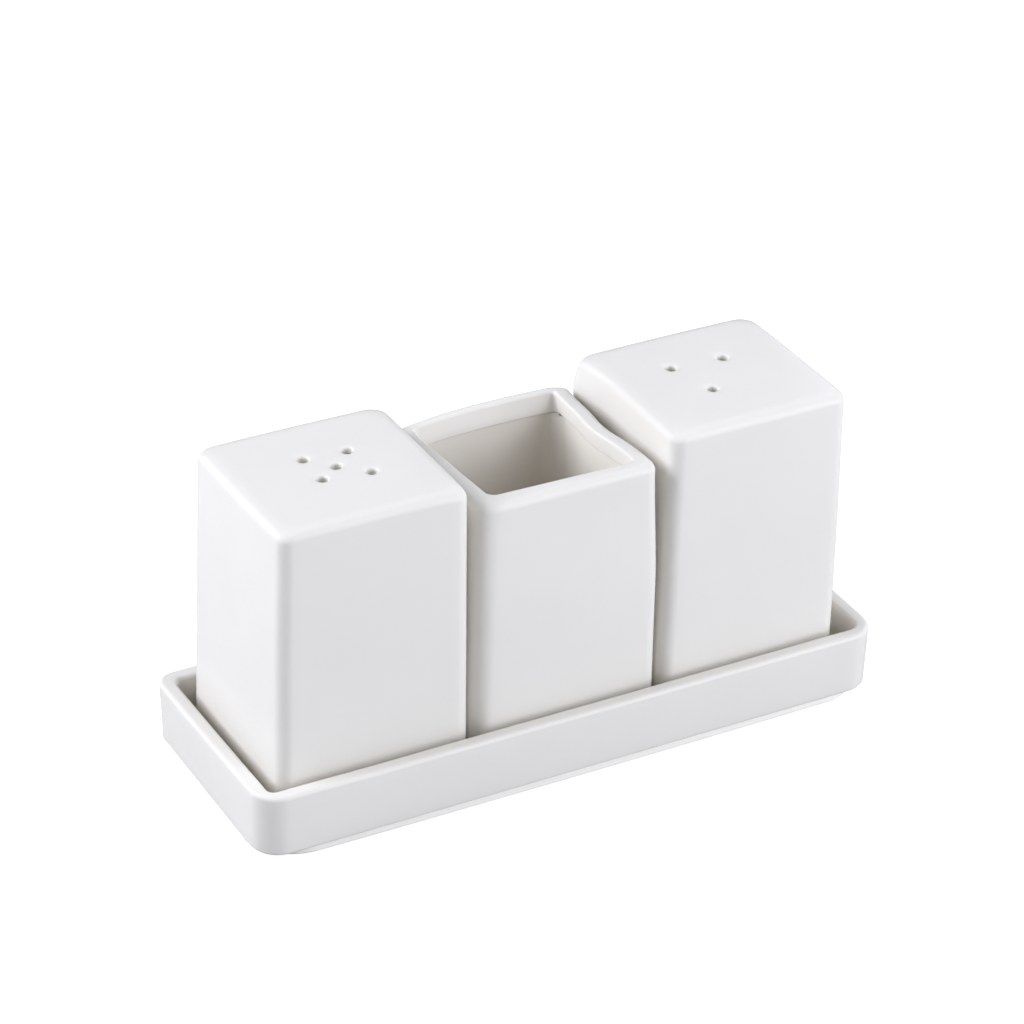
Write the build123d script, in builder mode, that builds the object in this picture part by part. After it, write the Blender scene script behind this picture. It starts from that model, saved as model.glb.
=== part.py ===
"""Salt and pepper shakers and a toothpick holder on a tray, all in white glazed porcelain.

Units are millimetres. +X runs along the tray, +Y points to its back and +Z is up.
The origin is the middle of the tray, on the plane that its foot ring stands on.
"""

from build123d import *
import os

os.makedirs("parts", exist_ok=True)

# Tray
TRAY_LENGTH = 150.0
TRAY_WIDTH = 54.0
TRAY_HEIGHT = 15.9
TRAY_CORNER = 6.5  # plan radius of the outer corners
TRAY_DRAFT = 0.3  # how much each side leans out between the bottom and the rim
TRAY_FLOOR = 2.8  # thickness of the floor
RIM_THICKNESS = 3.5
RIM_ROUND = 1.5
TRAY_BOTTOM_ROUND = 0.8
TRAY_COVE = 1.6  # between the floor of the tray and its walls

# The ring under the tray that it stands on
TRAY_FOOT_HEIGHT = 2.5
TRAY_FOOT_INSET = 1.4
TRAY_FOOT_WIDTH = 3.0
FOOT_ROUND = 0.5

# The form that both shakers and the toothpick holder share
SIDE_BOW = 0.15  # how far the middle of each side stands out past its corners
BODY_CORNER = 3.4
TOP_ROUND = 2.8
BOTTOM_ROUND = 1.2
WALL = 3.4
BASE_THICKNESS = 4.0
CAVITY_ROUND = 2.6
FOOT_WIDTH = 4.4
RECESS_DEPTH = 2.4  # of the underside, inside the foot
REST_GAP = 0.2  # between a foot and the floor of the tray

# Shakers: width and depth at the top, and how much further out each side is at the bottom
SHAKER_SIZE = (43.1, 41.2)
SHAKER_SPREAD = 0.9
SHAKER_HEIGHT = 68.6
SHAKER_TOP_THICKNESS = 3.6
POUR_RADIUS = 1.25
POUR_ROUND = 0.45
FILL_RADIUS = 10.0
FILL_ROUND = 0.4

# Toothpick holder
HOLDER_SIZE = (43.4, 41.8)
HOLDER_SPREAD = 0.5
HOLDER_HEIGHT = 62.3
LIP_WIDTH = 4.4
LIP_DEPTH = 3.6
MOUTH_CORNER = 3.2
MOUTH_ROUND = 0.8

# Soft stopper that closes a shaker's fill hole: a hollow plug with a flange and a grip bar
PLUG_CLEARANCE = 0.08
PLUG_REACH = 2.2  # how far the plug stands past the inside of the base
PLUG_WAIST = 0.5  # how much narrower the plug is between its two ribs
RIB_HEIGHT = 1.6
PLUG_WALL = 1.7
FLANGE_RADIUS = 12.6
FLANGE_THICKNESS = 1.5
SEAT_GAP = 0.1
GRIP_THICKNESS = 2.0
STOPPER_ROUND = 0.3

# Where the pieces stand along the tray
SALT_X = -46.0
HOLDER_X = -0.7
PEPPER_X = 44.9

# Pour holes, from the middle of the top. They are pierced by hand, so they are a little uneven.
SALT_HOLES = [(-3.9, 5.2), (6.0, 4.4), (1.0, -0.2), (-3.8, -3.6), (6.6, -5.3)]
PEPPER_HOLES = [(-6.8, 6.2), (5.6, 5.3), (-3.4, -5.4)]

FLOOR_TOP = TRAY_FOOT_HEIGHT + TRAY_FLOOR
STAND = FLOOR_TOP + REST_GAP
SEAT = STAND + RECESS_DEPTH
BASE_TOP = SEAT + BASE_THICKNESS


def bowed_rectangle(x, z, width, depth, corner):
    """A level rounded rectangle whose sides stand out in the middle."""
    edge_x = width / 2 - SIDE_BOW
    edge_y = depth / 2 - SIDE_BOW
    with BuildSketch(Plane(origin=(x, 0, z))) as outline:
        with BuildLine():
            ThreePointArc((-edge_x, -edge_y), (0, -depth / 2), (edge_x, -edge_y))
            ThreePointArc((edge_x, -edge_y), (width / 2, 0), (edge_x, edge_y))
            ThreePointArc((edge_x, edge_y), (0, depth / 2), (-edge_x, edge_y))
            ThreePointArc((-edge_x, edge_y), (-width / 2, 0), (-edge_x, -edge_y))
        make_face()
        fillet(outline.vertices(), corner)
    return outline.sketch


def make_body(x, size, spread, height, cavity_top):
    """A hollow body standing on the tray at x, closed at the top, with a recessed underside."""

    def section(z, inset=0.0, corner=BODY_CORNER):
        grow = 2 * (spread * (STAND + height - z) / height - inset)
        return bowed_rectangle(x, z, size[0] + grow, size[1] + grow, corner)

    with BuildPart() as body:
        loft([section(STAND), section(STAND + height)])
        fillet(body.edges().group_by(Axis.Z)[-1], TOP_ROUND)
        fillet(body.edges().group_by(Axis.Z)[0], BOTTOM_ROUND)
        recess = section(STAND, FOOT_WIDTH, CAVITY_ROUND)
        extrude(recess, amount=RECESS_DEPTH, mode=Mode.SUBTRACT)
        foot = body.faces().sort_by(Axis.Z)[0]
        fillet(foot.inner_wires()[0].edges(), FOOT_ROUND)
        loft(
            [section(z, WALL, CAVITY_ROUND) for z in (BASE_TOP, cavity_top)],
            mode=Mode.SUBTRACT,
        )
        fillet(body.edges().filter_by_position(Axis.Z, BASE_TOP, BASE_TOP), CAVITY_ROUND * 0.9)
    return body.part


def make_shaker(x, pour_holes):
    """A shaker: a closed body with pour holes in its top and a fill hole in its base."""
    top = STAND + SHAKER_HEIGHT
    with BuildPart() as shaker:
        add(make_body(x, SHAKER_SIZE, SHAKER_SPREAD, SHAKER_HEIGHT, top - SHAKER_TOP_THICKNESS))
        with Locations(Plane(origin=(x, 0, SEAT))):
            Hole(FILL_RADIUS, depth=BASE_THICKNESS)
        rims = shaker.edges().filter_by(GeomType.CIRCLE).filter_by_position(Axis.Z, SEAT, BASE_TOP)
        fillet([e for e in rims if abs(e.radius - FILL_RADIUS) < 0.01], FILL_ROUND)
        with Locations(Plane(origin=(x, 0, top))):
            with Locations(*pour_holes):
                Hole(POUR_RADIUS, depth=SHAKER_TOP_THICKNESS)
        mouths = shaker.edges().filter_by(GeomType.CIRCLE).filter_by_position(Axis.Z, top, top)
        fillet([e for e in mouths if abs(e.radius - POUR_RADIUS) < 0.01], POUR_ROUND)
    return shaker.part


def make_stopper(x):
    """A fill-hole stopper, moulded in one piece: plug with two ribs, flange and grip bar."""
    rib = FILL_RADIUS - PLUG_CLEARANCE
    waist = rib - PLUG_WAIST
    flange_top = SEAT - SEAT_GAP
    flange_bottom = flange_top - FLANGE_THICKNESS
    plug_top = BASE_TOP + PLUG_REACH
    hollow = waist - PLUG_WALL
    with BuildPart() as stopper:
        with BuildSketch(Plane(origin=(x, 0, 0), x_dir=(1, 0, 0), z_dir=(0, -1, 0))) as half:
            with BuildLine():
                Polyline(
                    (0, plug_top - PLUG_WALL),
                    (hollow, plug_top - PLUG_WALL),
                    (hollow, flange_bottom),
                    (FLANGE_RADIUS, flange_bottom),
                    (FLANGE_RADIUS, flange_top),
                    (rib, flange_top),
                    (rib, flange_top + RIB_HEIGHT),
                    (waist, flange_top + RIB_HEIGHT + PLUG_WAIST),
                    (waist, plug_top - RIB_HEIGHT - PLUG_WAIST),
                    (rib, plug_top - RIB_HEIGHT),
                    (rib, plug_top),
                    (0, plug_top),
                    close=True,
                )
            make_face()
            on_axis = half.vertices().group_by(Axis.X)[0]
            fillet(half.vertices() - on_axis, STOPPER_ROUND)
        revolve(axis=Axis((x, 0, 0), (0, 0, 1)))
        with BuildSketch(Plane(origin=(x, 0, flange_bottom + STOPPER_ROUND))):
            Rectangle(2 * hollow + PLUG_WALL, GRIP_THICKNESS)
        extrude(amount=plug_top - PLUG_WALL / 2 - flange_bottom - STOPPER_ROUND)
    return stopper.part


with BuildPart() as tray:
    bottom_size = (TRAY_LENGTH - 2 * TRAY_DRAFT, TRAY_WIDTH - 2 * TRAY_DRAFT)
    with BuildSketch(Plane.XY.offset(TRAY_FOOT_HEIGHT)):
        RectangleRounded(*bottom_size, TRAY_CORNER)
    with BuildSketch(Plane.XY.offset(TRAY_HEIGHT)):
        RectangleRounded(TRAY_LENGTH, TRAY_WIDTH, TRAY_CORNER)
    loft()
    fillet(tray.edges().group_by(Axis.Z)[0], TRAY_BOTTOM_ROUND)
    well_corner = TRAY_CORNER - RIM_THICKNESS
    well_size = (TRAY_LENGTH - 2 * RIM_THICKNESS, TRAY_WIDTH - 2 * RIM_THICKNESS)
    with BuildSketch(Plane.XY.offset(FLOOR_TOP)):
        RectangleRounded(well_size[0] - 2 * TRAY_DRAFT, well_size[1] - 2 * TRAY_DRAFT, well_corner)
    with BuildSketch(Plane.XY.offset(TRAY_HEIGHT)):
        RectangleRounded(*well_size, well_corner)
    loft(mode=Mode.SUBTRACT)
    fillet(tray.edges().group_by(Axis.Z)[-1], RIM_ROUND)
    fillet(tray.edges().filter_by_position(Axis.Z, FLOOR_TOP, FLOOR_TOP), TRAY_COVE)
    foot_size = [side - 2 * TRAY_FOOT_INSET for side in bottom_size]
    with BuildSketch(Plane.XY):
        RectangleRounded(*foot_size, TRAY_CORNER - TRAY_FOOT_INSET)
        RectangleRounded(
            *[side - 2 * TRAY_FOOT_WIDTH for side in foot_size],
            FOOT_ROUND + TRAY_COVE,
            mode=Mode.SUBTRACT,
        )
    extrude(amount=TRAY_FOOT_HEIGHT)
    fillet(tray.edges().group_by(Axis.Z)[0], FOOT_ROUND)

with BuildPart() as toothpick_holder:
    rim_top = STAND + HOLDER_HEIGHT
    cavity_top = rim_top - LIP_DEPTH
    add(make_body(HOLDER_X, HOLDER_SIZE, HOLDER_SPREAD, HOLDER_HEIGHT, cavity_top))
    mouth_size = [side - 2 * LIP_WIDTH for side in HOLDER_SIZE]
    mouth = bowed_rectangle(HOLDER_X, cavity_top, *mouth_size, MOUTH_CORNER)
    extrude(mouth, amount=LIP_DEPTH, mode=Mode.SUBTRACT)
    lip = toothpick_holder.faces().sort_by(Axis.Z)[-1]
    fillet(lip.inner_wires()[0].edges(), MOUTH_ROUND)

with BuildPart() as salt_shaker:
    add(make_shaker(SALT_X, SALT_HOLES))

with BuildPart() as pepper_shaker:
    add(make_shaker(PEPPER_X, PEPPER_HOLES))

with BuildPart() as salt_stopper:
    add(make_stopper(SALT_X))

with BuildPart() as pepper_stopper:
    add(make_stopper(PEPPER_X))

pieces = {
    "tray": tray,
    "toothpick_holder": toothpick_holder,
    "salt_shaker": salt_shaker,
    "salt_stopper": salt_stopper,
    "pepper_shaker": pepper_shaker,
    "pepper_stopper": pepper_stopper,
}
for name, piece in pieces.items():
    piece.part.label = name
    export_step(piece.part, f"parts/{name}.step")
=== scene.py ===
"""Salt and pepper shakers and a toothpick holder on a tray, in white glazed porcelain.

Shapes are worked out in millimetres and angles in degrees. Meshes are written in metres.
Each porcelain piece is one closed surface: a stack of level rings joined ring to ring, with
triangles over the flat ends. A smooth warp then presses it a little out of true, as a real
slip-cast piece is.
"""

import math

import bmesh
import bpy
import numpy as np
from mathutils import Matrix, Vector, noise
from mathutils.geometry import delaunay_2d_cdt


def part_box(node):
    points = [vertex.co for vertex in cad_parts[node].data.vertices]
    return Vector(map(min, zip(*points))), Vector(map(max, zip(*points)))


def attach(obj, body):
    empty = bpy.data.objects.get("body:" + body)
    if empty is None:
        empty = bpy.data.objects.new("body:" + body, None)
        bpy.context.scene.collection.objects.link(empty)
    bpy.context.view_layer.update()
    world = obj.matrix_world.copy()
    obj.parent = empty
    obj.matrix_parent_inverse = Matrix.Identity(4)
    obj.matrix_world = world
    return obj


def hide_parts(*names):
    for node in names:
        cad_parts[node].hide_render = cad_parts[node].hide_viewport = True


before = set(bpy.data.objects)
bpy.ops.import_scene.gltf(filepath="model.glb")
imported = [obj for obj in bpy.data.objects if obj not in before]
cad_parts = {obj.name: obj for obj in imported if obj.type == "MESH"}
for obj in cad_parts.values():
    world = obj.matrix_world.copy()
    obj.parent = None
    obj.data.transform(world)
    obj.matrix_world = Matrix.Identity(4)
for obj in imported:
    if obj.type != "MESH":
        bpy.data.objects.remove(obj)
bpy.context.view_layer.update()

# Without a seed of its own, noise_vector takes one from the clock.
NOISE_SEED = 3
noise.seed_set(NOISE_SEED)

# ---------------------------------------------------------------- sizes shared by the bodies, in mm
# Room left between a straight-sided piece and its CAD node's box
CLEARANCE = 0.1
# Four corner radii are in the order back right, back left, front left and front right.
SHAKER_CORNERS = (3.3, 2.9, 3.0, 3.2)
HOLDER_CORNERS = (3.3, 2.9, 4.2, 3.0)
# Start angle, end angle and radius of each bend, from the flat of the top to the wall
TOP_BENDS = ((0, 20, 5.5), (20, 60, 1.5), (60, 90, 2.4))
RIM_BENDS = ((0, 20, 2.0), (20, 60, 1.5), (60, 90, 2.4))
BOTTOM_ROUND = 1.2
WALL = 3.4
BASE_THICKNESS = 4.0
CAVITY_ROUND = 2.6
FOOT_WIDTH = 4.4
FOOT_ROUND = 0.7
RECESS_DEPTH = 2.4
# How far a foot stands out from its top on each side, and how far walls swell in the middle
SHAKER_SPREAD = 0.9
HOLDER_SPREAD = 0.5
BODY_BOW = 0.15
# How far the corners of a top lie below its middle
SHAKER_DOME = 0.15
HOLDER_DOME = 0.3

# How much a corner's radius grows for each mm that a ring is inset
TOP_CORNER_GROWTH = 0.5
WALL_CORNER_GROWTH = -0.4
FOOT_CORNER_GROWTH = -0.5
CAVITY_CORNER_GROWTH = -0.4
LEAST_FOOT_CORNER = 1.5

# Shakers
SHAKER_TOP_THICKNESS = 3.6
SHAKER_CEILING_ROUND = 1.2
SHAKER_CAVITY_CORNER = CAVITY_ROUND + SHAKER_CEILING_ROUND
SHAKER_CEILING_CORNER = SHAKER_CAVITY_CORNER + CAVITY_CORNER_GROWTH * SHAKER_CEILING_ROUND
FILL_RADIUS = 10.0
FILL_ROUND = 0.4
POUR_RADIUS = 1.25
POUR_ROUND = 0.5
POUR_SINK = 0.1
# Out from the hole's rim and down from the top: the glaze dips gently before the hole
POUR_SKIRT = ((0.95, 0.0), (0.7, 0.015), (0.45, 0.035), (0.2, 0.065))

# Pour holes, from the middle of the top. They are pierced by hand, so they are a little uneven.
SALT_HOLES = [(-3.6, 5.8), (6.1, 5.1), (1.3, 0.4), (-3.5, -3.0), (6.9, -4.7)]
PEPPER_HOLES = [(-6.8, 6.2), (5.6, 5.3), (-3.4, -5.4)]

# Holder
LIP_WIDTH = 4.1
LIP_DEPTH = 4.1
LIP_ROUND = 0.7
LIP_UNDER_ROUND = 0.4
MOUTH_CORNERS = (1.0, 1.6, 2.0, 1.8)
HOLDER_CEILING_ROUND = 0.3
HOLDER_CAVITY_CORNER = 5.0

# Tray
TRAY_CORNERS = (6.5, 4.2, 6.5, 6.5)
TRAY_FOOT_CORNERS = (9.0, 9.0, 13.0, 12.0)
WELL_CORNERS = (2.4, 2.0, 1.5, 2.4)
RIM_THICKNESS = 3.5
RIM_ROUND = 1.0
TRAY_BOTTOM_ROUND = 0.8
TRAY_COVE = 2.2
TRAY_FLOOR = 3.85
TRAY_FOOT_HEIGHT = 1.45
TRAY_FOOT_INSET = 0.5
TRAY_FOOT_SLOPE = 0.9
TRAY_FOOT_WIDTH = 3.2
TRAY_FOOT_ROUND = 0.4
TRAY_FOOT_BOW = 0.5
TRAY_RECESS_ROUND = 0.5
LEAST_TRAY_CORNER = 1.0
TRAY_LEAN = 0.3
TRAY_LEFT_BACK_LEAN = 1.4
TRAY_RIM_RISE = 0.25

# How fine the meshes are: steps along x, along y and round a corner, rows, and triangles' size
# in mm. The gaps are how far, in triangles, points stay from an edge and from a hole.
BODY_STEPS = (34, 32, 12)
TRAY_STEPS = (96, 32, 14)
POUR_STEPS = 36
WALL_ROWS = 46
TRAY_WALL_ROWS = 9
WELL_WALL_ROWS = 6
FOOT_FLAT_ROWS = 6
HOLE_ROWS = 6
LIP_ROWS = 4
BLEND_ROWS = 5
ARRIS_ROWS = 9
WIDE_ROUND_ROWS = 7
ROUND_ROWS = 6
SMALL_ROUND_ROWS = 5
EDGE_GAP = 0.55
HOLE_GAP = 0.45
TOP_SPACING = 1.0
CEILING_SPACING = 1.4
BODY_FLAT_SPACING = 1.6
TRAY_FLAT_SPACING = 1.8

# The random unevenness: mm from crest to crest and mm high, and which pattern each piece takes
BODY_WAVER = (26, 0.16)
TRAY_WAVER = (30, 0.14)
SALT_PATTERN = 1
PEPPER_PATTERN = 2
HOLDER_PATTERN = 5
TRAY_PATTERN = 9


# ---------------------------------------------------------------- closed meshes from rings
def rounded_distance(xy, half_x, half_y, corner):
    """Signed distance from points to the edge of a rounded rectangle, negative inside."""
    q = np.abs(xy) - np.array((half_x - corner, half_y - corner))
    outside = np.linalg.norm(np.maximum(q, 0), axis=1)
    return outside + np.minimum(q.max(axis=1), 0) - corner


class Surface:
    """The vertices and faces of one piece while it is being built, around the vertical axis.

    skin says what new vertices are covered with: glaze, the lining of a hollow (a little more matt,
    with its colour painted warmer for the shade inside it), or bare.
    """

    def __init__(self, x_steps, y_steps, corner_steps):
        self.steps = (x_steps, y_steps, corner_steps)
        self.points = []
        self.faces = []
        self.skin = "glaze"
        self.skins = []

    def outline(self, half_x, half_y, corner):
        """A rounded rectangle, anticlockwise, with the same number of points at any size.

        corner is one radius, or four: back right, back left, front left and front right.
        """
        x_steps, y_steps, corner_steps = self.steps
        radii = corner if isinstance(corner, tuple) else (corner,) * 4
        signs = ((1, 1), (-1, 1), (-1, -1), (1, -1))
        turn = [math.radians(90 * k / corner_steps) for k in range(corner_steps + 1)]
        arcs = []
        for quarter, (sign, r) in enumerate(zip(signs, radii)):
            middle = np.array(sign) * (half_x - r, half_y - r)
            start = math.radians(90 * quarter)
            angles = [start + a for a in turn]
            arcs.append([middle + np.array((math.cos(a), math.sin(a))) * r for a in angles])
        points = []
        for quarter, arc in enumerate(arcs):
            start, end = arc[-1], arcs[(quarter + 1) % 4][0]
            count = y_steps if quarter % 2 else x_steps
            points += arc
            points += [start + (end - start) * k / count for k in range(1, count)]
        return np.array(points)

    def ring(self, xy, z):
        """Adds a level ring of vertices and returns their indices."""
        first = len(self.points)
        self.points.extend((x, y, z) for x, y in xy)
        self.skins.extend([self.skin] * len(xy))
        return list(range(first, len(self.points)))

    def bridge(self, ring_a, ring_b):
        """Joins two rings of the same length with a band of four-sided faces."""
        n = len(ring_a)
        for k in range(n):
            j = (k + 1) % n
            self.faces.append((ring_a[k], ring_a[j], ring_b[j], ring_b[k]))

    def stack(self, rings):
        """Joins each ring to the next and returns the first and the last."""
        for a, b in zip(rings, rings[1:]):
            self.bridge(a, b)
        return rings[0], rings[-1]

    def cover(self, ring, shape, spacing, holes=()):
        """Fills a level ring with triangles, round holes given as (ring, x, y, radius)."""
        z = self.points[ring[0]][2]
        half_x, half_y, _ = shape
        xs = np.arange(-half_x, half_x, spacing)
        ys = np.arange(-half_y, half_y, spacing)
        grid = np.array([(x + (j % 2) * spacing / 2, y) for j, y in enumerate(ys) for x in xs])
        keep = rounded_distance(grid, *shape) < -EDGE_GAP * spacing
        for _, x, y, radius in holes:
            keep &= np.hypot(grid[:, 0] - x, grid[:, 1] - y) > radius + HOLE_GAP * spacing
        inner = self.ring(grid[keep], z)
        loops = [ring] + [hole[0] for hole in holes]
        used = [i for loop in loops for i in loop] + inner
        edges = []
        first = 0
        for loop in loops:
            n = len(loop)
            edges.extend((first + k, first + (k + 1) % n) for k in range(n))
            first += n
        flat = [Vector(self.points[i][:2]) for i in used]
        # Type 1 gives only the triangles inside the outer loop.
        _, _, triangles, origins, _, _ = delaunay_2d_cdt(flat, edges, [], 1, 1e-6)
        for triangle in triangles:
            corners = [used[origins[i][0]] for i in triangle]
            middle = np.mean([self.points[i][:2] for i in corners], axis=0)
            if all(np.hypot(*(middle - (x, y))) > radius for _, x, y, radius in holes):
                self.faces.append(tuple(corners))

    def to_object(self, name, warp, centre_x):
        """Warps the piece, makes its mesh and returns the object."""
        points = warp(np.array(self.points, float))
        points[:, 0] += centre_x
        mesh = bpy.data.meshes.new(name)
        mesh.from_pydata((points * 0.001).tolist(), [], self.faces)
        shape = bmesh.new()
        shape.from_mesh(mesh)
        bmesh.ops.recalc_face_normals(shape, faces=shape.faces)
        shape.to_mesh(mesh)
        shape.free()
        mesh.shade_smooth()
        for skin in ("lining", "bare"):
            attribute = mesh.attributes.new(skin, "FLOAT", "POINT")
            attribute.data.foreach_set("value", [float(s == skin) for s in self.skins])
        piece = bpy.data.objects.new(name, mesh)
        bpy.context.scene.collection.objects.link(piece)
        return piece


def arc_steps(start, end, count):
    """Sines and cosines of angles from start to end, for a rounded edge."""
    return [
        (math.sin(math.radians(a)), math.cos(math.radians(a))) for a in np.linspace(start, end, count)
    ]


def top_profile(bends):
    """Inset and drop from the flat of a body's top, down round its bends to its wall.

    Each bend is a start angle, an end angle and a radius. The top sinks gently, then turns down.
    """
    inset = drop = 0.0
    profile = [(inset, drop)]
    for start, end, radius in bends:
        turn = arc_steps(start, end, ROUND_ROWS)
        for (s1, c1), (s2, c2) in zip(turn, turn[1:]):
            inset += radius * (s2 - s1)
            drop += radius * (c1 - c2)
            profile.append((inset, drop))
    return [(inset - out, down) for out, down in profile]


# ---------------------------------------------------------------- warps
def fade(value, start, end):
    """0 before start, 1 after end and a smooth rise between them."""
    t = np.clip((value - start) / (end - start), 0, 1)
    return t * t * (3 - 2 * t)


def ridge(value, middle, width):
    """1 at the middle, falling smoothly to nearly 0 about two widths away."""
    return np.exp(-(((value - middle) / width) ** 2))


def waver(points, length, amount, pattern):
    """Slow random shifts of each point, length mm from crest to crest and amount mm high."""
    # Each pattern comes from its own far corner of the noise.
    shift = Vector((pattern * 37.7, pattern * 11.3, pattern * 5.9))
    return np.array([noise.noise_vector(Vector(p) / length + shift) for p in points]) * amount


class BodyWarp:
    """Takes a straight-sided body to its real shape: leaning, swollen and a little uneven.

    lean is the body's own warp. It gets the moved points and where they were: u from left to
    right and v from front to back, both from -1 to 1, and height from 0 to 1.
    """

    def __init__(self, half, stand, top, spread, dome, yaw, pattern, lean):
        self.half = half
        self.stand, self.top = stand, top
        self.spread, self.dome = spread, dome
        self.yaw = math.radians(yaw)
        self.pattern = pattern
        self.lean = lean

    def __call__(self, points):
        x, y, z = points.T
        u, v = x / self.half[0], y / self.half[1]
        height = (z - self.stand) / (self.top - self.stand)
        out = self.spread * (1 - height)
        x = u * (self.half[0] + out) * (1 - BODY_BOW / self.half[0] * v**2)
        y = v * (self.half[1] + out) * (1 - BODY_BOW / self.half[1] * u**2)
        z = z - self.dome * (u**2 + v**2) / 2 * fade(height, 0.8, 1)
        cos, sin = math.cos(self.yaw), math.sin(self.yaw)
        x, y = x * cos - y * sin, x * sin + y * cos
        moved = self.lean(np.column_stack((x, y, z)), u, v, height)
        drift = waver(moved, *BODY_WAVER, self.pattern)
        drift[:, 2] *= 0.5 * fade(height, 0.3, 0.9)
        return moved + drift


# ---------------------------------------------------------------- the porcelain pieces
def node_size(node):
    """Half width, half depth, foot height, top height and middle x of a CAD node, in mm."""
    low, high = (corner * 1000 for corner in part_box(node))
    half_x = (high.x - low.x) / 2 - CLEARANCE
    half_y = (high.y - low.y) / 2 - CLEARANCE
    return half_x, half_y, low.z, high.z - CLEARANCE, (high.x + low.x) / 2


def outside_rings(body, half, stand, top, side_corners, bends):
    """The outside, from the edge of the flat top down the wall to the outer edge of the foot."""

    def ring(inset, z, growth=WALL_CORNER_GROWTH):
        corners = tuple(corner + growth * inset for corner in side_corners)
        return body.ring(body.outline(half[0] - inset, half[1] - inset, corners), z)

    profile = top_profile(bends)
    rings = [ring(inset, top - drop, TOP_CORNER_GROWTH) for inset, drop in profile]
    wall = np.linspace(top - profile[-1][1], stand + BOTTOM_ROUND, WALL_ROWS)
    rings += [ring(0, z) for z in wall[1:]]
    rings += [
        ring(BOTTOM_ROUND * (1 - c), stand + BOTTOM_ROUND * (1 - s))
        for s, c in arc_steps(0, 90, ARRIS_ROWS)[1:]
    ]
    return rings


def underside_rings(body, half, stand, side_corner):
    """The foot's flat and the wall of the recess inside it, up to the recess's flat."""

    def ring(inset, z):
        corner = max(side_corner + FOOT_CORNER_GROWTH * inset, LEAST_FOOT_CORNER)
        return body.ring(body.outline(half[0] - inset, half[1] - inset, corner), z)

    seat = stand + RECESS_DEPTH
    arc = arc_steps(0, 90, ROUND_ROWS)
    flat = np.linspace(BOTTOM_ROUND, FOOT_WIDTH - FOOT_ROUND, FOOT_FLAT_ROWS)
    body.skin = "bare"
    rings = [ring(inset, stand) for inset in flat[1:]]
    body.skin = "glaze"
    rings += [
        ring(FOOT_WIDTH - FOOT_ROUND * (1 - s), stand + FOOT_ROUND * (1 - c)) for s, c in arc[1:]
    ]
    rings += [
        ring(FOOT_WIDTH + FOOT_ROUND * (1 - c), seat - FOOT_ROUND * (1 - s)) for s, c in arc
    ]
    return rings


def cavity_rings(body, half, base_top, cavity_top, corner, ceiling_round):
    """The inside, from the edge of its flat floor up the wall to the edge of its ceiling."""

    def ring(inset, z):
        radius = corner + CAVITY_CORNER_GROWTH * inset
        return body.ring(body.outline(half[0] - WALL - inset, half[1] - WALL - inset, radius), z)

    r = CAVITY_ROUND
    arc = arc_steps(0, 90, WIDE_ROUND_ROWS)
    rings = [ring(r * (1 - s), base_top + r * (1 - c)) for s, c in arc]
    wall = np.linspace(base_top + r, cavity_top - ceiling_round, WALL_ROWS)
    rings += [ring(0, z) for z in wall[1:]]
    rings += [
        ring(ceiling_round * (1 - c), cavity_top - ceiling_round * (1 - s))
        for s, c in arc_steps(0, 90, ROUND_ROWS)[1:]
    ]
    return rings


def blend_rings(body, outer, inner, z):
    """Level rings between two outlines of different shape, without the first and the last."""
    shares = np.linspace(0, 1, BLEND_ROWS + 2)[1:-1]
    return [body.ring(outer + (inner - outer) * share, z) for share in shares]


def around(body, radius):
    """A circle with as many points as the body's outline, each in line with its fellow."""
    reference = body.outline(2, 2, 1)
    return radius * reference / np.linalg.norm(reference, axis=1)[:, None]


def pour_hole(body, x, y, top, ceiling):
    """One pour hole with soft lips. Returns its rings at the top and at the ceiling."""
    turn = np.linspace(0, 2 * math.pi, POUR_STEPS + 1)[:-1]
    circle = np.column_stack((np.cos(turn), np.sin(turn)))

    def ring(radius, z):
        return body.ring(circle * radius + (x, y), z)

    rim = POUR_RADIUS + POUR_ROUND
    rings = [ring(rim + out, top - down) for out, down in POUR_SKIRT]
    rings += [
        ring(rim - POUR_ROUND * s, top - POUR_SINK - POUR_ROUND * (1 - c))
        for s, c in arc_steps(0, 90, WIDE_ROUND_ROWS)
    ]
    deep = np.linspace(top - POUR_SINK - POUR_ROUND, ceiling + POUR_ROUND, HOLE_ROWS)
    rings += [ring(POUR_RADIUS, z) for z in deep[1:]]
    rings += [
        ring(POUR_RADIUS + POUR_ROUND * (1 - c), ceiling + POUR_ROUND * (1 - s))
        for s, c in arc_steps(0, 90, SMALL_ROUND_ROWS)[1:]
    ]
    first, last = body.stack(rings)
    return (first, x, y, rim + POUR_SKIRT[0][0]), (last, x, y, rim)


def salt_lean(moved, u, v, height):
    """The salt shaker's top falls a little to the back and the front right, and its sides lean."""
    left, right = fade(-u, 0.3, 1), fade(u, 0.3, 1)
    front = fade(-v, 0, 1)
    moved[:, 2] -= 0.15 * fade(v, 0, 1) * fade(height, 0.7, 1)
    moved[:, 2] -= 0.45 * fade(u, 0.6, 1) * fade(-v, -1, 1) * fade(height, 0.85, 1)
    # The front is hollow. The left side leans out below, and draws in towards the front.
    moved[:, 1] += 0.35 * (1 - u**2) * front
    moved[:, 0] -= 0.3 * left * (1 - 0.4 * height)
    moved[:, 0] += 0.45 * left * front
    moved[:, 0] += 0.15 * right + 0.3 * right * fade(-v, 0, 0.9)
    return moved


def pepper_lean(moved, u, v, height):
    """The pepper shaker's back left edge stands out below its top and its right side stands out."""
    corner = fade(-u, 0.2, 1) * fade(v, 0.2, 1)
    moved[:, 0] -= 2.3 * corner * fade(height, 0.55, 0.85) * (1 - 0.55 * fade(height, 0.9, 1))
    right = fade(u, 0.3, 1)
    moved[:, 0] += 0.1 * right * (1 - height)
    moved[:, 0] += 0.3 * right * fade(-v, 0, 0.9) * fade(height, 0, 0.3)
    return moved


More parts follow.
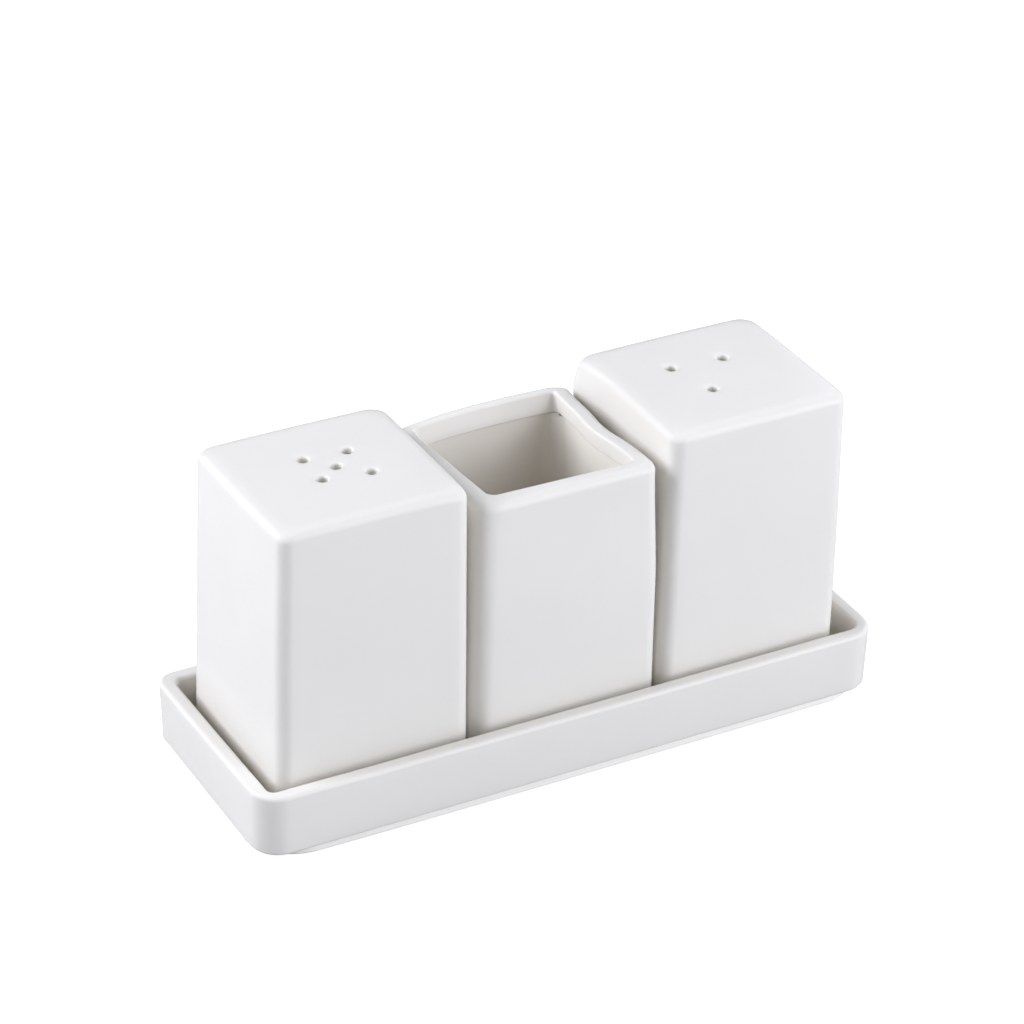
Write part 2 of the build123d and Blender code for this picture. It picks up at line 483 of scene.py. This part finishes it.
def make_shaker(node, pour_holes, yaw, pattern, lean):
    """A closed shaker: one wall from the flat of its top round to its ceiling, pierced by holes.

    yaw is how far it is turned on the tray, in degrees.
    """
    half_x, half_y, stand, top, centre_x = node_size(node)
    half = (half_x - SHAKER_SPREAD, half_y - SHAKER_SPREAD)
    seat = stand + RECESS_DEPTH
    base_top = seat + BASE_THICKNESS
    ceiling = top - SHAKER_TOP_THICKNESS
    body = Surface(*BODY_STEPS)
    outside = outside_rings(body, half, stand, top, SHAKER_CORNERS, TOP_BENDS)
    underside = underside_rings(body, half, stand, SHAKER_CORNERS[0])
    lip = FILL_RADIUS + FILL_ROUND
    recess_edge = np.array([body.points[i][:2] for i in underside[-1]])
    arc = arc_steps(0, 90, SMALL_ROUND_ROWS)
    hole = [
        body.ring(around(body, lip - FILL_ROUND * s), seat + FILL_ROUND * (1 - c)) for s, c in arc
    ]
    hole += [
        body.ring(around(body, FILL_RADIUS + FILL_ROUND * (1 - c)), base_top - FILL_ROUND * (1 - s))
        for s, c in arc
    ]
    body.skin = "lining"
    cavity = cavity_rings(body, half, base_top, ceiling, SHAKER_CAVITY_CORNER, SHAKER_CEILING_ROUND)
    floor_edge = np.array([body.points[i][:2] for i in cavity[0]])
    body.stack(
        outside
        + underside
        + blend_rings(body, recess_edge, around(body, lip), seat)
        + hole
        + blend_rings(body, around(body, lip), floor_edge, base_top)
        + cavity
    )
    body.skin = "glaze"
    ends = [pour_hole(body, x, y, top, ceiling) for x, y in pour_holes]
    inset = top_profile(TOP_BENDS)[0][0]
    top_corner = SHAKER_CORNERS[0] + TOP_CORNER_GROWTH * inset
    top_shape = (half[0] - inset, half[1] - inset, top_corner)
    body.cover(outside[0], top_shape, TOP_SPACING, [upper for upper, _ in ends])
    body.skin = "lining"
    edge = WALL + SHAKER_CEILING_ROUND
    under_shape = (half[0] - edge, half[1] - edge, SHAKER_CEILING_CORNER)
    body.cover(cavity[-1], under_shape, CEILING_SPACING, [lower for _, lower in ends])
    warp = BodyWarp(half, stand, top, SHAKER_SPREAD, SHAKER_DOME, yaw, pattern, lean)
    finish_piece(body, node, warp, centre_x)


def holder_slump(moved, u, v, height):
    """Presses the holder's rim out of true, and its walls a little."""
    rim = fade(height, 0.55, 1)
    front = fade(-v, 0, 1)
    # The right side sags in at the rim and stands out below it.
    sag = 0.45 + 1.25 * np.exp(-((v - 0.05) ** 2) / 0.13) + 0.5 * ridge(v, 0.6, 0.2)
    moved[:, 0] -= sag * rim * fade(u, 0.2, 1)
    moved[:, 0] += 0.5 * fade(u, 0.3, 1) * fade(-v, 0, 0.9) * (1 - rim)
    # The back rises in a bow from a low left corner. The front rises too, and leans back.
    bow = 0.4 * (1 - (u - 0.1) ** 2) - 0.8 * ridge(u, -1, 0.42)
    moved[:, 2] += bow * fade(v, 0, 1) * rim
    moved[:, 2] += 0.7 * front * rim
    moved[:, 1] += 0.6 * front * rim
    # The mouth's front edge runs askew and its left edge lies further in.
    moved[:, 1] += (0.3 - 0.7 * u) * ridge(v, -0.8, 0.1) * rim
    moved[:, 0] += 0.8 * ridge(u, -0.8, 0.09) * fade(-v, -0.6, 0.8) * rim
    # The back lip is thinner at its top edge and hangs lower.
    back_lip = ridge(v, 0.8, 0.09)
    moved[:, 1] += 1.2 * back_lip * fade(height, 0.935, 0.995)
    moved[:, 2] -= 0.6 * back_lip * fade(height, 0.8, 0.93) * (1 - fade(height, 0.94, 0.99))
    return moved


def make_holder(node):
    """The open holder: a lip turned in round its mouth, and a cavity with a flat floor."""
    half_x, half_y, stand, top, centre_x = node_size(node)
    half = (half_x - HOLDER_SPREAD, half_y - HOLDER_SPREAD)
    seat = stand + RECESS_DEPTH
    base_top = seat + BASE_THICKNESS
    body = Surface(*BODY_STEPS)
    outside = outside_rings(body, half, stand, top, HOLDER_CORNERS, RIM_BENDS)
    underside = underside_rings(body, half, stand, HOLDER_CORNERS[0])

    def mouth_ring(inset, z):
        return body.ring(body.outline(half[0] - inset, half[1] - inset, MOUTH_CORNERS), z)

    mouth = [
        mouth_ring(LIP_WIDTH - LIP_ROUND * (1 - s), top - LIP_ROUND * (1 - c))
        for s, c in arc_steps(0, 90, ARRIS_ROWS)
    ]
    lip_bottom = top - LIP_DEPTH
    r = LIP_UNDER_ROUND
    straight = np.linspace(top - LIP_ROUND, lip_bottom + r, LIP_ROWS)
    mouth += [mouth_ring(LIP_WIDTH, z) for z in straight[1:]]
    mouth += [
        mouth_ring(LIP_WIDTH - r * (1 - c), lip_bottom + r * (1 - s))
        for s, c in arc_steps(0, 90, SMALL_ROUND_ROWS)[1:]
    ]
    body.skin = "lining"
    corner = HOLDER_CAVITY_CORNER
    cavity = cavity_rings(body, half, base_top, lip_bottom, corner, HOLDER_CEILING_ROUND)
    body.skin = "glaze"
    body.stack(mouth[::-1] + outside + underside)
    body.stack(cavity)
    body.bridge(mouth[-1], cavity[-1])
    edge = FOOT_WIDTH + FOOT_ROUND
    recess = (half[0] - edge, half[1] - edge, LEAST_FOOT_CORNER)
    body.cover(underside[-1], recess, BODY_FLAT_SPACING)
    body.skin = "lining"
    edge = WALL + CAVITY_ROUND
    floor = (half[0] - edge, half[1] - edge, corner + CAVITY_CORNER_GROWTH * CAVITY_ROUND)
    body.cover(cavity[0], floor, BODY_FLAT_SPACING)
    warp = BodyWarp(half, stand, top, HOLDER_SPREAD, HOLDER_DOME, 0.0, HOLDER_PATTERN, holder_slump)
    finish_piece(body, node, warp, centre_x)


def tray_warp(half_x, half_y, top):
    """Leans the tray's sides, bows its foot, raises its rim a little and makes it uneven."""

    def warp(points):
        x, y, z = points.T
        lean = TRAY_LEAN * (1 - z / top)
        left_back = fade(-x / half_x, 0.6, 1) * fade(y / half_y, -0.8, 0.8)
        x = x * (1 - lean * (1 + TRAY_LEFT_BACK_LEAN * left_back) / half_x)
        foot_bow = TRAY_FOOT_BOW * (1 - (x / half_x) ** 2) * fade(TRAY_FOOT_HEIGHT - z, 0, 0.5)
        y = y * (1 - (lean - foot_bow) / half_y)
        moved = np.column_stack((x, y, z + TRAY_RIM_RISE * fade(z, 8, 15)))
        drift = waver(moved, *TRAY_WAVER, TRAY_PATTERN)
        # The rim only dips, and the foot stays flat and nearly true.
        drift[:, 2] = -np.abs(drift[:, 2]) * fade(z, 4, 12)
        drift[:, :2] *= (0.2 + 0.8 * fade(z, 1, 8))[:, None]
        return moved + drift

    return warp


def make_tray(node):
    """The tray: from the inner edge of its rim down its outside to its underside, and its well."""
    half_x, half_y, _, top, centre_x = node_size(node)
    floor_top = TRAY_FOOT_HEIGHT + TRAY_FLOOR
    tray = Surface(*TRAY_STEPS)

    def ring(inset, z, corners=TRAY_CORNERS):
        radii = tuple(max(corner - inset, LEAST_TRAY_CORNER) for corner in corners)
        return tray.ring(tray.outline(half_x - inset, half_y - inset, radii), z)

    def well_ring(inset, z):
        return ring(inset, z, [corner + RIM_THICKNESS for corner in WELL_CORNERS])

    arc = arc_steps(0, 90, ARRIS_ROWS)
    r = RIM_ROUND
    rings = [well_ring(RIM_THICKNESS - r * (1 - s), top - r * (1 - c)) for s, c in arc][::-1]
    rings += [ring(r * (1 - s), top - r * (1 - c)) for s, c in arc]
    r = TRAY_BOTTOM_ROUND
    wall = np.linspace(top - RIM_ROUND, TRAY_FOOT_HEIGHT + r, TRAY_WALL_ROWS)
    rings += [ring(0, z) for z in wall[1:]]
    rings += [ring(r * (1 - c), TRAY_FOOT_HEIGHT + r * (1 - s)) for s, c in arc[1:]]
    outer, inner = TRAY_FOOT_INSET, TRAY_FOOT_INSET + TRAY_FOOT_WIDTH
    r = TRAY_FOOT_ROUND

    def foot_ring(inset, z):
        return ring(inset, z, TRAY_FOOT_CORNERS)

    tray.skin = "bare"
    rings += [
        foot_ring(outer + TRAY_FOOT_SLOPE * t, r + (TRAY_FOOT_HEIGHT - r) * t)
        for t in (1, 0.67, 0.33)
    ]
    rings += [foot_ring(outer + r * (1 - c), r * (1 - s)) for s, c in arc]
    rings += [foot_ring(outer + TRAY_FOOT_WIDTH / 2, 0)]
    rings += [foot_ring(inner - r * (1 - s), r * (1 - c)) for s, c in arc]
    tray.skin = "glaze"
    r = TRAY_RECESS_ROUND
    rings += [foot_ring(inner, TRAY_FOOT_HEIGHT - r)]
    rings += [foot_ring(inner + r * (1 - c), TRAY_FOOT_HEIGHT - r * (1 - s)) for s, c in arc[2::2]]
    tray.stack(rings)
    inset = inner + r
    shape = (half_x - inset, half_y - inset, max(TRAY_FOOT_CORNERS) - inset)
    tray.cover(rings[-1], shape, TRAY_FLAT_SPACING)
    r = TRAY_COVE
    wall = np.linspace(top - RIM_ROUND, floor_top + r, WELL_WALL_ROWS)
    well = [well_ring(RIM_THICKNESS, z) for z in wall]
    well[0] = rings[0]
    well += [well_ring(RIM_THICKNESS + r * (1 - c), floor_top + r * (1 - s)) for s, c in arc[1:]]
    tray.stack(well)
    inset = RIM_THICKNESS + r
    shape = (half_x - inset, half_y - inset, LEAST_TRAY_CORNER)
    tray.cover(well[-1], shape, TRAY_FLAT_SPACING)
    finish_piece(tray, node, tray_warp(half_x, half_y, top), centre_x)


def finish_piece(surface, node, warp, centre_x):
    """Makes the mesh of a porcelain piece, puts it in place of its CAD node and rides it."""
    piece = surface.to_object(node + "_porcelain", warp, centre_x)
    piece.data.materials.append(porcelain)
    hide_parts(node)
    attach(piece, node)


# ---------------------------------------------------------------- materials, in metres
GLAZE = (0.8, 0.765, 0.7)
GLAZE_POOL = (0.79, 0.755, 0.69)
# Inside the hollows: a warmer colour, painted for the shade there
LINING_SHADE_TINT = (0.8, 0.755, 0.675)
# The bare foot's clay: its own matt colour, painted lighter than the glaze for light bounced up from
# the floor. The darker one is its grain.
CLAY_BOUNCE_LIT = (0.9, 0.87, 0.81)
CLAY_DARK = (0.84, 0.8, 0.73)
PALE_SPECK = (0.66, 0.62, 0.57)
IRON_SPECK = (0.3, 0.25, 0.2)
SPECULAR_LEVEL = 0.18
MILK = (0.79, 0.785, 0.765)
MILK_WARM = (0.755, 0.745, 0.715)
DUST = (0.6, 0.58, 0.55)


def new_material(name):
    """A material with its node tree and its shader."""
    material = bpy.data.materials.new(name)
    material.use_nodes = True
    return material, material.node_tree, material.node_tree.nodes["Principled BSDF"]


def link(tree, output, target):
    tree.links.new(output, target)


def add_noise(tree, coordinates, scale, detail, seed):
    """A noise texture with scale in crests per metre. Its fourth dimension tells it apart."""
    noise_node = tree.nodes.new("ShaderNodeTexNoise")
    noise_node.noise_dimensions = "4D"
    noise_node.inputs["W"].default_value = seed
    noise_node.inputs["Scale"].default_value = scale
    noise_node.inputs["Detail"].default_value = detail
    link(tree, coordinates, noise_node.inputs["Vector"])
    return noise_node.outputs["Fac"]


def add_range(tree, value, low, high, to_low, to_high):
    """Takes a value from one range to another, clamped. The ends are numbers or outputs."""
    node = tree.nodes.new("ShaderNodeMapRange")
    link(tree, value, node.inputs["Value"])
    ends = {"From Min": low, "From Max": high, "To Min": to_low, "To Max": to_high}
    for name, end in ends.items():
        if isinstance(end, (int, float)):
            node.inputs[name].default_value = end
        else:
            link(tree, end, node.inputs[name])
    return node.outputs["Result"]


def add_mix(tree, factor, colour_a, colour_b):
    """Mixes two colours. Each is a fixed colour or an output."""
    node = tree.nodes.new("ShaderNodeMix")
    node.data_type = "RGBA"
    link(tree, factor, node.inputs[0])
    for socket, colour in ((node.inputs[6], colour_a), (node.inputs[7], colour_b)):
        if isinstance(colour, tuple):
            socket.default_value = (*colour, 1)
        else:
            link(tree, colour, socket)
    return node.outputs[2]


def add_math(tree, operation, a, b):
    """Maths on two values. Each is a number or an output."""
    node = tree.nodes.new("ShaderNodeMath")
    node.operation = operation
    for socket, value in zip(node.inputs, (a, b)):
        if isinstance(value, (int, float)):
            socket.default_value = value
        else:
            link(tree, value, socket)
    return node.outputs[0]


def add_attribute(tree, name):
    """A value that the mesh carries at its points, from 0 to 1."""
    node = tree.nodes.new("ShaderNodeAttribute")
    node.attribute_name = name
    return node.outputs["Fac"]


def add_specks(tree, coordinates, spacing, radius, share, seed):
    """1 inside round specks, radius metres at most, in a share of cells spacing metres wide."""
    cells = tree.nodes.new("ShaderNodeTexVoronoi")
    cells.voronoi_dimensions = "4D"
    cells.inputs["W"].default_value = seed
    cells.inputs["Scale"].default_value = 1 / spacing
    link(tree, coordinates, cells.inputs["Vector"])
    pick = tree.nodes.new("ShaderNodeSeparateColor")
    link(tree, cells.outputs["Color"], pick.inputs[0])
    size = add_range(tree, pick.outputs[0], 1 - share, 1, 0, radius / spacing)
    return add_range(tree, add_math(tree, "SUBTRACT", size, cells.outputs["Distance"]), 0, 0.02, 0, 1)


def add_bump(tree, height, depth, normal=None):
    """Bump of a height from 0 to 1, depth metres high, over another bump if one is given."""
    node = tree.nodes.new("ShaderNodeBump")
    node.inputs["Strength"].default_value = 1
    node.inputs["Distance"].default_value = depth
    link(tree, height, node.inputs["Height"])
    if normal:
        link(tree, normal, node.inputs["Normal"])
    return node.outputs["Normal"]


def make_porcelain():
    """White glaze over a slip-cast body: satin, faintly rippled, with rare specks of iron.

    The linings are a little more matt, and their colour is painted warmer for the shade inside the
    hollows. The glaze is missing on the feet, where the body is matt and its colour is painted
    lighter for light bounced up from the floor.
    """
    material, tree, shader = new_material("porcelain")
    place = tree.nodes.new("ShaderNodeTexCoord").outputs["Object"]
    lining = add_attribute(tree, "lining")
    bare = add_attribute(tree, "bare")

    pool = add_noise(tree, place, scale=55, detail=3, seed=1)
    glaze = add_mix(tree, add_range(tree, pool, 0.35, 0.65, 0, 1), GLAZE, GLAZE_POOL)
    # The linings take a warmer colour, painted for the shade inside the hollows.
    shade_tinted = add_mix(tree, lining, glaze, LINING_SHADE_TINT)
    clay_grain = add_noise(tree, place, scale=2500, detail=4, seed=2)
    # The bare feet are unglazed clay, painted lighter than the glaze to stand in for light bounced up
    # from the floor.
    bounce_lit_clay = add_mix(tree, clay_grain, CLAY_BOUNCE_LIT, CLAY_DARK)
    ground = add_mix(tree, bare, shade_tinted, bounce_lit_clay)
    pale_speck = add_specks(tree, place, spacing=0.009, radius=0.0005, share=0.3, seed=3)
    dark_speck = add_specks(tree, place, spacing=0.016, radius=0.00028, share=0.4, seed=4)
    dotted = add_mix(tree, add_math(tree, "MULTIPLY", pale_speck, 0.2), ground, PALE_SPECK)
    colour = add_mix(tree, add_math(tree, "MULTIPLY", dark_speck, 0.55), dotted, IRON_SPECK)
    link(tree, colour, shader.inputs["Base Color"])

    smudge = add_noise(tree, place, scale=90, detail=5, seed=5)
    satin = add_range(tree, smudge, 0.3, 0.7, 0.2, 0.25)
    shader.inputs["Specular IOR Level"].default_value = SPECULAR_LEVEL
    matt = add_math(tree, "MAXIMUM", bare, add_math(tree, "MULTIPLY", lining, 0.35))
    link(tree, add_range(tree, matt, 0, 1, satin, 0.75), shader.inputs["Roughness"])

    ripple = add_noise(tree, place, scale=130, detail=2, seed=6)
    peel = add_noise(tree, place, scale=800, detail=2, seed=7)
    grain = add_noise(tree, place, scale=5000, detail=2, seed=8)
    slow = add_bump(tree, ripple, depth=0.00008)
    fine = add_bump(tree, peel, depth=0.000006, normal=slow)
    rough = add_bump(tree, add_math(tree, "MULTIPLY", grain, bare), depth=0.00003, normal=fine)
    link(tree, rough, shader.inputs["Normal"])
    return material


def make_silicone():
    """Milky stopper rubber: matt, softly mottled, with a fine mould grain and a little dust."""
    material, tree, shader = new_material("silicone")
    place = tree.nodes.new("ShaderNodeTexCoord").outputs["Object"]
    cloud = add_noise(tree, place, scale=160, detail=4, seed=11)
    milk = add_mix(tree, add_range(tree, cloud, 0.3, 0.7, 0, 1), MILK, MILK_WARM)
    dust = add_specks(tree, place, spacing=0.004, radius=0.00025, share=0.5, seed=12)
    dusty = add_mix(tree, add_math(tree, "MULTIPLY", dust, 0.4), milk, DUST)
    link(tree, dusty, shader.inputs["Base Color"])
    grain = add_noise(tree, place, scale=3500, detail=3, seed=13)
    link(tree, add_range(tree, grain, 0.3, 0.7, 0.48, 0.62), shader.inputs["Roughness"])
    shader.inputs["Subsurface Weight"].default_value = 0.15
    shader.inputs["Subsurface Radius"].default_value = (0.002, 0.0017, 0.0013)
    link(tree, add_bump(tree, grain, depth=0.00002), shader.inputs["Normal"])
    return material


# ---------------------------------------------------------------- the stage, in metres
STAGE_RADIUS = 30
FLOOR_ALBEDO = 0.43
FLOOR_GLOW = 0.78


def stage_glow(name, shape, albedo, glow):
    """Stages a pale surface whose own glow shows in the picture but lights nothing else."""
    material, _, shader = new_material(name)
    shader.inputs["Base Color"].default_value = (albedo, albedo, albedo, 1)
    shader.inputs["Roughness"].default_value = 1.0
    shader.inputs["Specular IOR Level"].default_value = 0.0
    shader.inputs["Emission Color"].default_value = (1, 1, 1, 1)
    shader.inputs["Emission Strength"].default_value = glow
    mesh = bpy.data.meshes.new(name)
    shape.to_mesh(mesh)
    shape.free()
    mesh.materials.append(material)
    surface = bpy.data.objects.new(name, mesh)
    bpy.context.scene.collection.objects.link(surface)
    receivers = bpy.data.collections.new(name + "_receivers")
    receivers.objects.link(surface)
    surface.light_linking.receiver_collection = receivers


def make_floor():
    """A plain pale floor. Its glow makes up what the soft boxes leave short of white."""
    shape = bmesh.new()
    bmesh.ops.create_circle(shape, cap_ends=True, segments=64, radius=STAGE_RADIUS)
    stage_glow("floor", shape, FLOOR_ALBEDO, FLOOR_GLOW)


def make_dome():
    """A white half ball over the floor, so that low views have a pale background too."""
    shape = bmesh.new()
    bmesh.ops.create_uvsphere(shape, u_segments=64, v_segments=32, radius=STAGE_RADIUS)
    below = [vertex for vertex in shape.verts if vertex.co.z < -0.001]
    bmesh.ops.delete(shape, geom=below, context="VERTS")
    stage_glow("dome", shape, 0.0, 1.0)


porcelain = make_porcelain()
silicone = make_silicone()

make_tray("tray")
make_shaker("salt_shaker", SALT_HOLES, -0.2, SALT_PATTERN, salt_lean)
make_shaker("pepper_shaker", PEPPER_HOLES, 0.0, PEPPER_PATTERN, pepper_lean)
make_holder("toothpick_holder")
for node in ("salt_stopper", "pepper_stopper"):
    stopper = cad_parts[node]
    stopper.data.materials.clear()
    stopper.data.materials.append(silicone)
make_floor()
make_dome()


# ---------------------------------------------------------------- light and camera, in metres
LIGHT_COLOUR = (0.897, 0.937, 1.046)
LIGHT_AIM = (0, 0, 0.04)


def soft_box(name, direction, width, height, radiance):
    """A rectangular area light a metre off in that direction, facing the object."""
    lamp = bpy.data.lights.new(name, "AREA")
    lamp.shape = "RECTANGLE"
    lamp.size, lamp.size_y = width, height
    lamp.energy = radiance * math.pi * width * height
    lamp.color = LIGHT_COLOUR
    box = bpy.data.objects.new(name, lamp)
    bpy.context.scene.collection.objects.link(box)
    way = Vector(direction).normalized()
    facing = way.to_track_quat("Z", "Y").to_matrix().to_4x4()
    box.matrix_world = Matrix.Translation(Vector(LIGHT_AIM) + way) @ facing


soft_box("left_box", (-0.78, 0.12, 0.52), 0.8, 0.6, 3.1)
soft_box("left_back_box", (-0.7, 0.4, 0.45), 0.8, 0.6, 5.75)
soft_box("front_right_box", (0.55, -0.75, 0.38), 0.8, 0.8, 5.72)
soft_box("front_left_box", (-0.65, -0.7, 0.3), 0.8, 0.6, 0.5)
soft_box("top_box", (0.0, 0.1, 1.0), 0.8, 0.8, 0.8)
soft_box("back_right_box", (0.8, 0.4, 0.45), 0.8, 0.8, 1.85)

# Whites stay white, as in the photo. Blender's usual view transform would grey them.
bpy.context.scene.view_settings.view_transform = "Standard"

# Angles in degrees. The lens and the sensor are in mm.
CAMERA_AZIMUTH = -29.61
CAMERA_ELEVATION = 30.93
CAMERA_ROLL = 1.78
CAMERA_PLACE = (-0.3707, -0.6464, 0.4977)
LENS_LENGTH = 144.5
SENSOR_WIDTH = 36

camera = bpy.data.objects.new("camera", bpy.data.cameras.new("camera"))
camera.data.lens = LENS_LENGTH
camera.data.sensor_width = SENSOR_WIDTH
turn = Matrix.Rotation(math.radians(CAMERA_AZIMUTH), 4, "Z")
tilt = Matrix.Rotation(math.pi / 2 - math.radians(CAMERA_ELEVATION), 4, "X")
roll = Matrix.Rotation(math.radians(CAMERA_ROLL), 4, "Z")
camera.matrix_world = Matrix.Translation(CAMERA_PLACE) @ turn @ tilt @ roll
bpy.context.scene.collection.objects.link(camera)
bpy.context.scene.camera = camera
